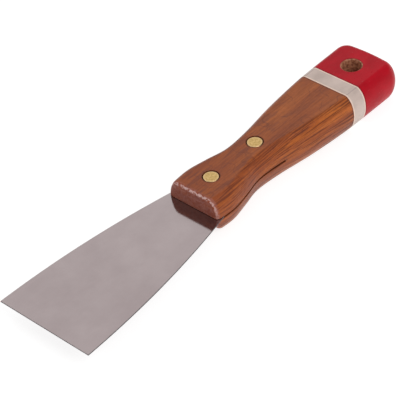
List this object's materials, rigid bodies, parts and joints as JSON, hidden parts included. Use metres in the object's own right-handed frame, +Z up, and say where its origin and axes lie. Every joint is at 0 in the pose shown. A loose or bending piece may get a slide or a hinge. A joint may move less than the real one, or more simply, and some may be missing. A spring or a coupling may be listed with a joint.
{
  "type": "flexible putty knife",
  "caption": "Flexible putty knife: a flared spring steel blade held by brass rivets in a waisted hardwood handle with a painted butt and a hanging hole.",
  "frame": {"origin": "under the middle of the knife's length, on the plane that the handle's lower face rests on", "axes": "+X along the knife towards the blade's working edge, +Y across it, +Z up through the handle's thickness"},
  "size_m": [0.214, 0.05, 0.0188],
  "materials": {
    "spring_steel": "fine satin polish, bright enough to mirror the nose of the handle",
    "hardwood": "reddish brown hardwood with fine dark pores under satin lacquer",
    "white_paint": "off-white satin enamel",
    "red_paint": "red gloss enamel, worn through round the hanging hole",
    "rivet_brass": "ground flush, fine scratches"
  },
  "bodies": {
    "root": {"blade": "spring_steel", "handle": "hardwood", "white_paint_band": "white_paint", "red_paint_coat": "red_paint", "front_rivet_tubular_half": "rivet_brass", "front_rivet_solid_half": "rivet_brass", "rear_rivet_tubular_half": "rivet_brass", "rear_rivet_solid_half": "rivet_brass"}
  },
  "joints": []
}
